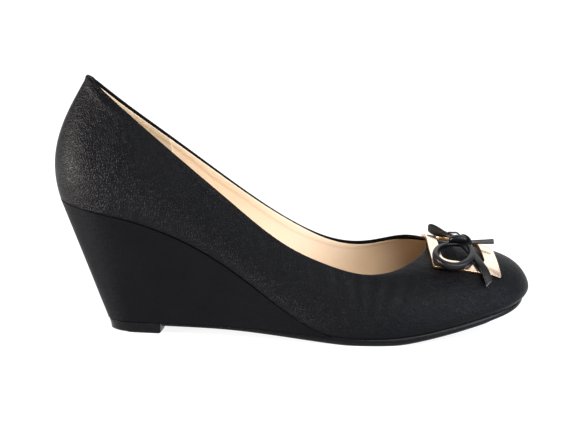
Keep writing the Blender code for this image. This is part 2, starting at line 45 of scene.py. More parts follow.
def colour(text):
    """The linear colour of an sRGB hex text."""
    parts = [int(text[place : place + 2], 16) / 255 for place in (1, 3, 5)]
    return [part / 12.92 if part <= 0.04045 else ((part + 0.055) / 1.055) ** 2.4 for part in parts] + [1.0]


def add(finish, kind, values=None, links=None, **settings):
    """Adds a node to a finish with its settings, the values of its sockets and what is linked to them."""
    node = finish.node_tree.nodes.new(kind)
    for name, value in settings.items():
        setattr(node, name, value)
    for name, value in (values or {}).items():
        node.inputs[name].default_value = value
    for name, source in (links or {}).items():
        finish.node_tree.links.new(source, node.inputs[name])
    return node


def new_finish(name):
    """A finish with its own shader, and that shader."""
    finish = bpy.data.materials.new(name)
    finish.use_nodes = True
    return finish, finish.node_tree.nodes["Principled BSDF"]


table_size = 6.0
table_height = -0.0001  # just under the shoe
table_slope = (0.0, 2.0, 3.0)  # from the far edge of the flat part to its end
bpy.ops.mesh.primitive_plane_add(size=table_size, location=(0.1, 0.0, table_height))
table = bpy.context.object
table.name = "opal_table"
bpy.ops.object.transform_apply(location=True, rotation=True, scale=True)
bpy.ops.object.mode_set(mode="EDIT")
bpy.ops.mesh.select_all(action="DESELECT")
bpy.context.tool_settings.mesh_select_mode = (False, True, False)
shape = bmesh.from_edit_mesh(table.data)
for edge in shape.edges:
    edge.select = all(point.co.y > 0.0 for point in edge.verts)
bmesh.update_edit_mesh(table.data)
bpy.ops.mesh.extrude_region_move(TRANSFORM_OT_translate={"value": table_slope})
bpy.ops.object.mode_set(mode="OBJECT")

# Opal acrylic: an even white, matt, that glows a little from the lamps below.
# Its faint clouds are about 300 mm wide.
opal, shader = new_finish("opal_acrylic")
place = add(opal, "ShaderNodeTexCoord")
cloud = add(opal, "ShaderNodeTexNoise", {"Scale": 3.0}, {"Vector": place.outputs["Object"]})
tone = add(
    opal,
    "ShaderNodeMix",
    {"A": colour("#8C8C8C"), "B": colour("#909090")},
    {"Factor": cloud.outputs["Fac"]},
    data_type="RGBA",
)
opal.node_tree.links.new(tone.outputs["Result"], shader.inputs["Base Color"])
shader.inputs["Roughness"].default_value = 0.9
shader.inputs["Specular IOR Level"].default_value = 0.1
shader.inputs["Emission Color"].default_value = colour("#FFFFFF")
shader.inputs["Emission Strength"].default_value = 0.88
table.data.materials.append(opal)

# Light. A pale room and four soft boxes: a warm one low behind the heel, a cool
# one before the toe, the main one over the camera and one over the far side.
# Each has its place and aim in metres, its width, height, watts and tint.
world = bpy.data.worlds.new("pale_room")
world.use_nodes = True
world.node_tree.nodes["Background"].inputs["Color"].default_value = colour("#F4F7FF")
world.node_tree.nodes["Background"].inputs["Strength"].default_value = 0.38
bpy.context.scene.world = world
for name, spot, aim, wide, high, watts, tint in (
    ("soft_box_behind_the_heel", (-0.98, -0.3, 0.11), (-0.03, 0.0, 0.07), 0.7, 0.2, 36.0, "#FFF4EC"),
    ("soft_box_before_the_toe", (0.95, -0.45, 0.3), (0.16, 0.0, 0.03), 0.5, 0.4, 10.5, "#E4EAFF"),
    ("soft_box_over_the_camera", (0.62, -0.85, 0.95), (0.05, 0.0, 0.05), 0.7, 0.7, 15.0, "#FFFAF4"),
    ("soft_box_over_the_far_side", (0.4, 1.2, 1.35), (0.12, 0.0, 0.04), 2.2, 1.6, 13.0, "#FFFFFF"),
):
    way = Vector(aim) - Vector(spot)
    bpy.ops.object.light_add(type="AREA", location=spot, rotation=way.to_track_quat("-Z", "Y").to_euler())
    lamp = bpy.context.object
    lamp.name = name
    lamp.data.shape = "RECTANGLE"
    lamp.data.size = wide
    lamp.data.size_y = high
    lamp.data.energy = watts
    lamp.data.color = colour(tint)[0:3]
bpy.context.scene.view_settings.view_transform = "Standard"

# Camera. It looks at the outer side of the shoe from a little above, with a
# long lens, and leans a degree.
bpy.ops.object.camera_add()
camera = bpy.context.object
camera.name = "camera"
camera.data.lens = 139.3
camera.data.sensor_width = 36.0
camera_place = (0.075111, -1.07596, 0.28336)
camera_tilt = math.radians(78)  # from looking straight down
camera_lean = math.radians(1)
camera.matrix_world = (
    Matrix.Translation(camera_place)
    @ Matrix.Rotation(camera_tilt, 4, "X")
    @ Matrix.Rotation(camera_lean, 4, "Z")
)
bpy.context.scene.camera = camera
bpy.ops.object.select_all(action="DESELECT")

# Upper. One skin of black pebbled synthetic leather, pulled over the last. Its
# top edge is turned in and stuck down behind the lining.
same_point = 0.00002  # points of a CAD node that lie nearer than this are one


def taken_from(node_name, piece_name, influence=1.0):
    """A new piece with the shape of a CAD node, merged, its triangles paired to quads."""
    piece = bpy.data.objects.new(piece_name, nodes[node_name].data.copy())
    bpy.context.scene.collection.objects.link(piece)
    piece.data.materials.clear()
    shape = bmesh.new()
    shape.from_mesh(piece.data)
    bmesh.ops.remove_doubles(shape, verts=shape.verts, dist=same_point)
    bmesh.ops.join_triangles(
        shape,
        faces=shape.faces,
        angle_face_threshold=math.radians(90),
        angle_shape_threshold=math.radians(180),
        topology_influence=influence,
    )
    shape.to_mesh(piece.data)
    shape.free()
    return piece


def finish_with(piece, kind, **settings):
    """Gives a piece a modifier with its settings and applies it."""
    bpy.context.view_layer.objects.active = piece
    modifier = piece.modifiers.new(kind.lower(), kind)
    for name, value in settings.items():
        setattr(modifier, name, value)
    bpy.ops.object.modifier_apply(modifier=modifier.name)


def walls_of(shape):
    """The faces of a shape in groups that are parted by edges sharper than 45 degrees, largest first."""
    groups, seen = [], set()
    for start in shape.faces:
        if start in seen:
            continue
        group, waiting = [], [start]
        seen.add(start)
        while waiting:
            face = waiting.pop()
            group.append(face)
            for edge in face.edges:
                if edge.calc_face_angle(0.0) > math.radians(45):
                    continue
                for other in edge.link_faces:
                    if other not in seen:
                        seen.add(other)
                        waiting.append(other)
        groups.append(group)
    return sorted(groups, key=lambda group: -sum(face.calc_area() for face in group))


def swell_to_fit(wall):
    """Moves a wall's points out a little, because the subdivision that follows draws them in. Each round
    works out where subdivision would settle a point, from its neighbours, and moves it the other way."""
    points = {point for face in wall for point in face.verts}
    edges = {edge for face in wall for edge in face.edges}
    faces = set(wall)
    wanted = {point: point.co.copy() for point in points}
    for _ in range(3):
        moves = {}
        for point in points:
            rim = [
                edge
                for edge in point.link_edges
                if edge in edges and len(faces & set(edge.link_faces)) == 1
            ]
            if rim:
                ends = [edge.other_vert(point).co for edge in rim]
                settled = (4 * point.co + ends[0] + ends[1]) / 6
            else:
                near = [edge.other_vert(point) for edge in point.link_edges]
                around = dict.fromkeys(corner for face in point.link_faces for corner in face.verts)
                corners = [corner for corner in around if corner != point and corner not in near]
                settled = 16 * point.co + 4 * sum((other.co for other in near), Vector())
                settled = (settled + sum((other.co for other in corners), Vector())) / 36
            moves[point] = wanted[point] - settled
        for point, move in moves.items():
            point.co += move


top_edge_round = 0.00045
foot_edge_round = 0.0002
lining_room = 0.0007  # taken off the leather's inner side, for the lining
lining_setback = 0.0001  # of the lining's face behind the CAD solid's inner side
upper = taken_from("upper", "upper_leather")
shape = bmesh.new()
shape.from_mesh(upper.data)
outer_wall, inner_wall, *rims = walls_of(shape)
swell_to_fit(outer_wall)
swell_to_fit(inner_wall)
top_rim = max(rims, key=lambda rim: sum(face.calc_center_median().z for face in rim) / len(rim))
rim_points = {point for face in top_rim for point in face.verts}
inner_points = {point for face in inner_wall for point in face.verts}
shape.normal_update()
ways, downs = {}, {}
for face in inner_wall:
    for point in face.verts:
        ways[point] = ways.get(point, Vector()) + face.normal
ways = {point: way.normalized() for point, way in ways.items()}
for point in rim_points & inner_points:
    below = next(
        edge.other_vert(point)
        for edge in point.link_edges
        if edge.other_vert(point) in inner_points and edge.other_vert(point) not in rim_points
    )
    downs[point] = (below.co - point.co).normalized()

# The lining is worked out here, from the leather's inner side. Its cut edge
# lies under the top edge by the second figure at the first figure's x, both in
# metres: deeper at the heel, and far deeper round the throat.
lining_points, lining_faces = [], []
edge_depths = (
    (-0.060, 0.0015),
    (-0.010, 0.0015),
    (0.014, 0.0011),
    (0.041, 0.0006),
    (0.080, 0.0004),
    (0.100, 0.0012),
    (0.125, 0.0021),
    (0.133, 0.0029),
    (0.138, 0.0055),
    (0.141, 0.0085),
    (0.145, 0.0105),
    (0.200, 0.0105),
)
places = {point: index for index, point in enumerate(ways)}
for point, way in ways.items():
    for back, front in zip(edge_depths, edge_depths[1:]):
        if back[0] <= point.co.x <= front[0]:
            share = (point.co.x - back[0]) / (front[0] - back[0])
            drop = back[1] + share * (front[1] - back[1])
    lining_points.append(point.co - lining_setback * way + drop * downs.get(point, Vector()))
for face in inner_wall:
    lining_faces.append([places[point] for point in face.verts])
# Each point's depth under the top edge, measured down the wall.
lining_depths = [0.0] * len(places)
for start in downs:
    column, depth = [start], 0.0
    while True:
        onward = [
            other
            for other in (edge.other_vert(column[-1]) for edge in column[-1].link_edges)
            if other in places and other not in rim_points and other not in column
        ]
        if len(column) > 1:
            onward = [other for other in onward if not set(other.link_faces) & set(column[-2].link_faces)]
        if not onward:
            break
        depth += (onward[0].co - column[-1].co).length
        column.append(onward[0])
        lining_depths[places[onward[0]]] = depth

for point, way in ways.items():
    point.co -= lining_room * way
rim_faces = {face for rim in rims for face in rim}
sharp = [
    edge
    for edge in shape.edges
    if len(edge.link_faces) == 2 and len(rim_faces & set(edge.link_faces)) == 1
]
top_edges = [edge for edge in sharp if all(point in rim_points for point in edge.verts)]
foot_edges = [edge for edge in sharp if edge not in top_edges]
bmesh.ops.bevel(shape, geom=top_edges, offset=top_edge_round, segments=2, profile=0.5, affect="EDGES")
bmesh.ops.bevel(shape, geom=foot_edges, offset=foot_edge_round, segments=1, profile=0.5, affect="EDGES")
shape.to_mesh(upper.data)
shape.free()
finish_with(upper, "SUBSURF", levels=2, render_levels=2)

# The folds that lasting and wear leave in the leather, as lines of x and z in
# millimetres on both sides, each with its width and its height. A trough has a
# height below zero. First come the roll of the top edge and the ridges at the
# heel, last the folds over the ball.
folds = (
    (((-24.8, 123.2), (-21.0, 120.6), (-16.0, 117.2)), 1.5, 0.5),
    (((-22.7, 119.2), (-18.5, 114.6), (-12.5, 109.8), (-5.5, 104.6)), 1.4, 0.5),
    (((-20.0, 120.2), (-15.3, 115.9), (-8.7, 110.8), (-1.7, 105.6)), 1.2, -0.34),
    (((-20.4, 109.3), (-18.0, 99.5), (-16.7, 88.1)), 6.5, -0.45),
    (((-6.0, 101.5), (-2.0, 96.5)), 1.3, 0.24),
    (((0.5, 98.0), (5.0, 92.0)), 1.3, -0.24),
    (((30.9, 76.1), (37.3, 71.0), (44.1, 66.0)), 1.1, 0.42),
    (((62.5, 51.5), (66.5, 43.5)), 1.1, -0.28),
    (((58.5, 49.0), (61.5, 41.0)), 1.1, -0.24),
    (((98.0, 31.5), (100.5, 22.0)), 1.4, -0.2),
    (((103.5, 31.0), (105.5, 19.0)), 1.3, 0.22),
    (((107.5, 30.0), (108.8, 16.0)), 1.2, -0.28),
    (((111.5, 30.5), (111.5, 15.5)), 1.2, 0.28),
    (((115.2, 29.5), (114.4, 15.0)), 1.2, -0.3),
    (((119.4, 29.5), (117.0, 15.0)), 1.3, 0.26),
    (((123.8, 29.0), (120.0, 15.5)), 1.3, -0.26),
    (((128.6, 28.5), (123.5, 16.5)), 1.4, 0.22),
    (((133.5, 29.0), (128.0, 17.5)), 1.5, -0.2),
)
counter_end = -0.015  # behind this the leather turns round the heel
surface = [(point.co.copy(), point.normal.copy()) for point in upper.data.vertices]
moved = []
for spot, normal in surface:
    move = 0.0
    # Only the outer side is folded: what faces away from the middle, or back.
    if normal.y * math.copysign(1.0, spot.y) > 0.1 or (spot.x < counter_end and normal.x < -0.5):
        flat = Vector((spot.x, spot.z))
        for corners, width, height in folds:
            low = min(corner[0] for corner in corners)
            high = max(corner[0] for corner in corners)
            if not low - 3 * width < 1000 * flat.x < high + 3 * width:
                continue
            gaps = []
            for start, end in zip(corners, corners[1:]):
                start, along = Vector(start) / 1000, (Vector(end) - Vector(start)) / 1000
                share = min(max((flat - start).dot(along) / along.length_squared, 0), 1)
                gaps.append((flat - start - share * along).length)
            move += height * math.exp(-((1000 * min(gaps) / width) ** 2))
    moved.extend(spot + 0.001 * move * normal)
upper.data.vertices.foreach_set("co", moved)
upper.data.update()
upper.data.shade_smooth()


def black_leather(name, dark, worn, grain, relief, rough, shine):
    """Synthetic leather, pressed with a pebble grain of the given width in millimetres. It gives the eye a
    deep black with a soft shine that breaks up along the borders of its grain."""
    finish, shader = new_finish(name)
    place = add(finish, "ShaderNodeTexCoord")
    # The pebbles are one grain wide, and noise of 2.4 grains sways their borders.
    sway = add(
        finish,
        "ShaderNodeTexNoise",
        {"Scale": 420.0 / grain, "Detail": 2.0},
        {"Vector": place.outputs["Object"]},
    )
    swayed = add(
        finish,
        "ShaderNodeVectorMath",
        {1: (0.0009 * grain, 0.0009 * grain, 0.0009 * grain)},
        {0: sway.outputs["Color"], 2: place.outputs["Object"]},
        operation="MULTIPLY_ADD",
    )
    pebbles = add(
        finish,
        "ShaderNodeTexVoronoi",
        {"Scale": 1000.0 / grain},
        {"Vector": swayed.outputs["Vector"]},
        feature="DISTANCE_TO_EDGE",
    )
    domes = add(
        finish,
        "ShaderNodeMapRange",
        {"From Min": 0.0, "From Max": 0.28},
        {"Value": pebbles.outputs["Distance"]},
        interpolation_type="SMOOTHSTEP",
    )
    # Wrinkles of half a millimetre, and crinkles 3 grains high and 6 long. The
    # real ones are finer and wouldn't show in the render.
    wrinkle = add(
        finish, "ShaderNodeTexNoise", {"Scale": 2200.0, "Detail": 3.0}, {"Vector": place.outputs["Object"]}
    )
    stretched = add(
        finish,
        "ShaderNodeMapping",
        {"Scale": (0.5, 0.5, 1.0), "Rotation": (0.0, 0.2, 0.0)},
        {"Vector": place.outputs["Object"]},
    )
    crinkle = add(
        finish,
        "ShaderNodeTexNoise",
        {
            "Scale": 300.0 / grain,
            "Detail": 2.0,
            "Roughness": 0.55,
            "Distortion": 0.5,
            "Offset": 0.9,
            "Gain": 2.0,
        },
        {"Vector": stretched.outputs["Vector"]},
        noise_type="RIDGED_MULTIFRACTAL",
    )
    # A third of the wrinkles is added to the pebbles, and the crinkles cut in.
    fine = add(
        finish,
        "ShaderNodeMath",
        {1: 0.35},
        {0: wrinkle.outputs["Fac"], 2: domes.outputs["Result"]},
        operation="MULTIPLY_ADD",
    )
    height = add(
        finish,
        "ShaderNodeMath",
        {1: -0.95},
        {0: crinkle.outputs["Fac"], 2: fine.outputs["Value"]},
        operation="MULTIPLY_ADD",
    )
    bump = add(
        finish,
        "ShaderNodeBump",
        {"Strength": relief, "Distance": 0.00013 * grain},
        {"Height": height.outputs["Value"]},
    )
    # Clouds of 18 mm, where the black is a little paler and duller.
    cloud = add(
        finish,
        "ShaderNodeTexNoise",
        {"Scale": 55.0, "Detail": 4.0, "Roughness": 0.6},
        {"Vector": place.outputs["Object"]},
    )
    gloss = add(
        finish,
        "ShaderNodeMapRange",
        {"From Min": 0.3, "From Max": 0.7, "To Min": rough - 0.06, "To Max": rough + 0.06},
        {"Value": cloud.outputs["Fac"]},
    )
    tone = add(
        finish,
        "ShaderNodeMix",
        {"A": colour(dark), "B": colour(worn)},
        {"Factor": cloud.outputs["Fac"]},
        data_type="RGBA",
    )
    links = finish.node_tree.links
    links.new(tone.outputs["Result"], shader.inputs["Base Color"])
    links.new(gloss.outputs["Result"], shader.inputs["Roughness"])
    links.new(bump.outputs["Normal"], shader.inputs["Normal"])
    shader.inputs["Specular IOR Level"].default_value = shine
    return finish


skin = black_leather(
    "pebbled_black_leather", "#040508", "#07080B", grain=1.1, relief=0.85, rough=0.42, shine=0.088
)
upper.data.materials.append(skin)
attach(upper, "root")
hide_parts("upper")

# Lining. Beige synthetic leather, 0.5 mm thick, stuck inside the upper. Its
# cut edge ends just under the top edge, lower at the heel and at the throat.
lining_thickness = 0.0005
tape_width = 0.004
grip_front = 0.0152  # x of the heel grip's front edge, at the top edge
grip_lean = 0.2  # how far that edge leans forward, for each unit of depth
lining_mesh = bpy.data.meshes.new("lining")
lining_mesh.from_pydata(lining_points, [], lining_faces)
depth_map = lining_mesh.uv_layers.new(name="depth")
for corner, loop in zip(depth_map.data, lining_mesh.loops):
    corner.uv = (lining_points[loop.vertex_index].x, lining_depths[loop.vertex_index])
lining = bpy.data.objects.new("lining", lining_mesh)
bpy.context.scene.collection.objects.link(lining)
finish_with(lining, "SOLIDIFY", thickness=lining_thickness, offset=-1.0, material_offset_rim=1)
finish_with(lining, "SUBSURF", levels=2, render_levels=2)
lining.data.shade_smooth()


def beige_leather(name, light, deep, tape=0.0):
    """Lining leather, coated and pressed smooth. It gives the eye a matt beige with fine pores and soft
    clouds of colour, with painted shade that darkens it towards the toe. A tape under its top edge and the
    heel grip's end press through it as soft lines."""
    finish, shader = new_finish(name)
    place = add(finish, "ShaderNodeTexCoord")
    links = finish.node_tree.links
    # Clouds of 17 mm, and painted shade: the beige grows darker and browner from the arch to the toe, where
    # the vamp shades the inside.
    cloud = add(
        finish, "ShaderNodeTexNoise", {"Scale": 60.0, "Detail": 4.0}, {"Vector": place.outputs["Object"]}
    )
    tone = add(
        finish,
        "ShaderNodeMix",
        {"A": colour(light), "B": colour(deep)},
        {"Factor": cloud.outputs["Fac"]},
        data_type="RGBA",
    )
    where = add(finish, "ShaderNodeSeparateXYZ", None, {"Vector": place.outputs["Object"]})
    # Painted shade: from 85 to 155 mm along, the beige is mixed towards a dark brown beige.
    onward = add(
        finish, "ShaderNodeMapRange", {"From Min": 0.085, "From Max": 0.155}, {"Value": where.outputs["X"]}
    )
    tone = add(
        finish,
        "ShaderNodeMix",
        {"B": colour("#AF9578")},
        {"Factor": onward.outputs["Result"], "A": tone.outputs["Result"]},
        data_type="RGBA",
    )
    # Pores 0.7 mm apart, coarser than the real ones so that they show, and
    # creases of 6 mm.
    pores = add(finish, "ShaderNodeTexVoronoi", {"Scale": 1400.0}, {"Vector": place.outputs["Object"]})
    crease = add(
        finish,
        "ShaderNodeTexNoise",
        {"Scale": 160.0, "Detail": 3.0, "Distortion": 0.5},
        {"Vector": place.outputs["Object"]},
    )
    height = add(
        finish,
        "ShaderNodeMath",
        {1: 5.0},
        {0: crease.outputs["Fac"], 2: pores.outputs["Distance"]},
        operation="MULTIPLY_ADD",
    )
    surface = height.outputs["Value"]
    if tape:
        # The UV map holds x and the depth under the top edge. The tape ends in a
        # line that wavers by up to 3 mm.
        depth = add(finish, "ShaderNodeUVMap", uv_map="depth")
        parts = add(finish, "ShaderNodeSeparateXYZ", None, {"Vector": depth.outputs["UV"]})
        sway = add(
            finish, "ShaderNodeTexNoise", {"Scale": 40.0, "Detail": 1.0}, {"Vector": place.outputs["Object"]}
        )
        swayed = add(
            finish,
            "ShaderNodeMath",
            {1: 0.003},
            {0: sway.outputs["Fac"], 2: parts.outputs["Y"]},
            operation="MULTIPLY_ADD",
        )
        step = add(
            finish,
            "ShaderNodeMapRange",
            {"From Min": tape + 0.0005, "From Max": tape + 0.0025, "To Min": 7.0, "To Max": 0.0},
            {"Value": swayed.outputs["Value"]},
            interpolation_type="SMOOTHSTEP",
        )
        pressed = add(
            finish,
            "ShaderNodeMath",
            None,
            {0: surface, 1: step.outputs["Result"]},
            operation="ADD",
        )
        lean = add(
            finish,
            "ShaderNodeMath",
            {1: -grip_lean},
            {0: parts.outputs["Y"], 2: parts.outputs["X"]},
            operation="MULTIPLY_ADD",
        )
        grip = add(
            finish,
            "ShaderNodeMapRange",
            {"From Min": grip_front, "From Max": grip_front + 0.0008, "To Min": 5.0, "To Max": 0.0},
            {"Value": lean.outputs["Value"]},
            interpolation_type="SMOOTHSTEP",
        )
        behind = add(
            finish,
            "ShaderNodeMapRange",
            {"From Min": grip_front, "From Max": grip_front + 0.0005, "To Min": 1.0, "To Max": 0.0},
            {"Value": lean.outputs["Value"]},
        )
        tone = add(
            finish,
            "ShaderNodeMix",
            {"B": colour("#D9C8AC")},
            {"Factor": behind.outputs["Result"], "A": tone.outputs["Result"]},
            data_type="RGBA",
        )
        both = add(
            finish,
            "ShaderNodeMath",
            None,
            {0: pressed.outputs["Value"], 1: grip.outputs["Result"]},
            operation="ADD",
        )
        surface = both.outputs["Value"]
    bump = add(finish, "ShaderNodeBump", {"Strength": 0.5, "Distance": 0.00006}, {"Height": surface})
    links.new(tone.outputs["Result"], shader.inputs["Base Color"])
    links.new(bump.outputs["Normal"], shader.inputs["Normal"])
    shader.inputs["Roughness"].default_value = 0.6
    shader.inputs["Specular IOR Level"].default_value = 0.3
    return finish


lining.data.materials.append(beige_leather("beige_lining_leather", "#F5E2C8", "#EAD3B4", tape=tape_width))
# The lining's cut edge gets a paler beige: a painted highlight, where the edge catches the light.
lining.data.materials.append(beige_leather("cut_lining_edge_painted_highlight", "#FFF8EE", "#FBEFDF"))
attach(lining, "root")
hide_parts("upper")

# Sock. The insole board with a thin pad and a cover of beige lining leather. It
# is laid in on the sole and stuck down.
sock = taken_from("insole", "sock")
finish_with(sock, "SUBSURF", levels=1, render_levels=1)
sock.data.shade_smooth()
sock.data.materials.append(beige_leather("beige_sock_leather", "#EAD6BA", "#DCC4A2"))
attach(sock, "root")
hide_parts("insole")

# Wedge. A cork or foam block, wrapped in a smoother skin of the same leather,
# glued under the upper.
wedge = taken_from("wedge", "wedge_cover")
finish_with(wedge, "BEVEL", width=0.0004, segments=2, limit_method="ANGLE", angle_limit=math.radians(40))
finish_with(wedge, "SUBSURF", levels=2, render_levels=2)
wedge.data.shade_smooth()
skin = black_leather(
    "wrapped_black_leather", "#06070A", "#090A0D", grain=0.7, relief=0.5, rough=0.45, shine=0.05
)
wedge.data.materials.append(skin)
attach(wedge, "root")
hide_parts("wedge")

# Outsole. A thin sheet of black rubber, moulded to its outline and glued under
# the forefoot and the front of the wedge.
seam_fill = 0.00028  # it is drawn this far into the seam, which the glue fills


def black_rubber(name, dark, pale, rough):
    """Black rubber, moulded and buffed. It gives the eye a satin near black, with pale dust caught in its
    skin and on what faces up. The dust lies 0.7 mm apart, coarser than real dust so that it shows."""
    finish, shader = new_finish(name)
    place = add(finish, "ShaderNodeTexCoord")
    dust = add(
        finish, "ShaderNodeTexNoise", {"Scale": 1500.0, "Detail": 2.0}, {"Vector": place.outputs["Object"]}
    )
    facing = add(finish, "ShaderNodeNewGeometry")
    upward = add(finish, "ShaderNodeSeparateXYZ", None, {"Vector": facing.outputs["True Normal"]})
    ledge = add(
        finish,
        "ShaderNodeMapRange",
        {"From Min": 0.2, "From Max": 0.7, "To Min": 0.0, "To Max": 0.03},
        {"Value": upward.outputs["Z"]},
    )
    settled = add(
        finish,
        "ShaderNodeMath",
        None,
        {0: dust.outputs["Fac"], 1: ledge.outputs["Result"]},
        operation="ADD",
    )
    spots = add(
        finish, "ShaderNodeMapRange", {"From Min": 0.6, "From Max": 0.75}, {"Value": settled.outputs["Value"]}
    )
    tone = add(
        finish,
        "ShaderNodeMix",
        {"A": colour(dark), "B": colour(pale)},
        {"Factor": spots.outputs["Result"]},
        data_type="RGBA",
    )
    bump = add(
        finish, "ShaderNodeBump", {"Strength": 0.3, "Distance": 0.00008}, {"Height": dust.outputs["Fac"]}
    )
    links = finish.node_tree.links
    links.new(tone.outputs["Result"], shader.inputs["Base Color"])
    links.new(bump.outputs["Normal"], shader.inputs["Normal"])
    shader.inputs["Roughness"].default_value = rough
    shader.inputs["Specular IOR Level"].default_value = 0.12
    return finish


outsole = taken_from("outsole", "outsole_rubber")
for point in outsole.data.vertices:
    if point.normal.z > -0.3:
        point.co += seam_fill * point.normal
finish_with(outsole, "BEVEL", width=0.0003, segments=2, limit_method="ANGLE", angle_limit=math.radians(40))
finish_with(outsole, "SUBSURF", levels=1, render_levels=1)
outsole.data.shade_smooth()
outsole.data.materials.append(black_rubber("moulded_black_rubber", "#060709", "#2A2A2D", rough=0.36))
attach(outsole, "root")
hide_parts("outsole")

# Top lift. A block of hard black rubber, cut to the wedge's outline and glued
# under its back.
lift = taken_from("top_lift", "heel_lift")
finish_with(lift, "BEVEL", width=0.0003, segments=2, limit_method="ANGLE", angle_limit=math.radians(40))
finish_with(lift, "SUBSURF", levels=1, render_levels=1)
lift.data.shade_smooth()
lift.data.materials.append(black_rubber("hard_black_rubber", "#050608", "#242426", rough=0.34))
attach(lift, "root")
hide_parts("top_lift")

# Plate. A stamped metal frame with a window, bent over the vamp, plated in
# pale rose gold and polished. Its edges are turned down onto the leather.
turned_down = 0.0005
throat_draw = 0.001  # the arm by the throat is drawn back by this at its outer edge
window_draw = 0.0022  # and by this at the window, which makes the arm narrower
corner_lift = 0.001  # of the near front corner, up and across the vamp
plate_lean = 0.13  # how far the near side leans towards the toe, for each unit across


def ramp(value, start, end):
    """How far a value has come from start to end, from 0 to 1."""
    return min(max((value - start) / (end - start), 0.0), 1.0)


plate = taken_from("vamp_plate", "gold_plate", 2.0)
shape = bmesh.new()
shape.from_mesh(plate.data)
unders = {}
for face in shape.faces:
    if face.normal.z < -0.3:
        for point in face.verts:
            unders[point] = unders.get(point, Vector()) + face.normal
for point, way in unders.items():
    point.co += turned_down * way.normalized()
# The two largest walls are its face and its back, and the rest are cut edges.
for side in walls_of(shape)[2:]:
    for face in side:
        face.material_index = 1
# The throat's arm lies between 145.0 and 151.5 mm along the shoe, and the
# front corner from 164 to 173 mm along and from 6 to 16 mm to the near side.
for point in shape.verts:
    along = 1000 * (point.co.x + plate_lean * point.co.y)
    draw = throat_draw + (window_draw - throat_draw) * ramp(along, 145.0, 151.5)
    draw *= ramp(along, 166.0, 151.5)
    point.co += Vector((-draw, 0.0, 0.2 * draw))
    raised = corner_lift * ramp(along, 164.0, 173.0) * ramp(1000 * point.co.y, -6.0, -16.0)
    point.co += raised * Vector((0.0, 1.1, 1.0))
shape.to_mesh(plate.data)
shape.free()
finish_with(plate, "BEVEL", width=0.0002, segments=2, limit_method="ANGLE", angle_limit=math.radians(40))
finish_with(plate, "SUBSURF", levels=2, render_levels=2)
plate.data.shade_smooth()
# Rose gold plating: a pale pink gold, polished to a blurred mirror on the faces, duller on the cut edges. The
# cut edges' warmer, deeper gold, from bright brass to brown, is painted reflection: bright where the lip
# catches the light, brown where it faces the dark leather. Its waves are 5 mm wide.
for name, light, deep, rough in (
    ("polished_rose_gold_plating", "#FFEEDA", "#FFDDBC", 0.26),
    ("cut_rose_gold_edge_painted_reflection", "#F2CB93", "#C08A50", 0.3),
):
    gold, shader = new_finish(name)
    place = add(gold, "ShaderNodeTexCoord")
    wave = add(
        gold, "ShaderNodeTexNoise", {"Scale": 180.0, "Detail": 1.0}, {"Vector": place.outputs["Object"]}
    )
    bump = add(
        gold, "ShaderNodeBump", {"Strength": 0.12, "Distance": 0.0002}, {"Height": wave.outputs["Fac"]}
    )
    tone = add(
        gold,
        "ShaderNodeMix",
        {"A": colour(light), "B": colour(deep)},
        {"Factor": wave.outputs["Fac"]},
        data_type="RGBA",
    )
    gold.node_tree.links.new(tone.outputs["Result"], shader.inputs["Base Color"])
    gold.node_tree.links.new(bump.outputs["Normal"], shader.inputs["Normal"])
    shader.inputs["Metallic"].default_value = 1.0
    shader.inputs["Roughness"].default_value = rough
    plate.data.materials.append(gold)
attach(plate, "root")
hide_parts("vamp_plate")

# Bow. One flat strap of black leather, folded along its length with its edges
# rolled in, tied in two loops and two tails over the plate.


def along_rows(rows, steps, closed):
    """More rows on a smooth line through the given ones, with so many steps from each to the next."""
    count = len(rows)
    found = []
    for index in range(count if closed else count - 1):
        picked = []
        for offset in (-1, 0, 1, 2):
            at = index + offset
            at = at % count if closed else min(max(at, 0), count - 1)
            picked.append(rows[at])
        for step in range(steps):
            u = step / steps
            row = []
            for a, b, c, d in zip(*picked):
                bend = (2 * a - 5 * b + 4 * c - d) * u**2 + (3 * b - a - 3 * c + d) * u**3
                row.append(0.5 * (2 * b + (c - a) * u + bend))
            found.append(row)
    if not closed:
        found.append(list(rows[-1]))
    return found


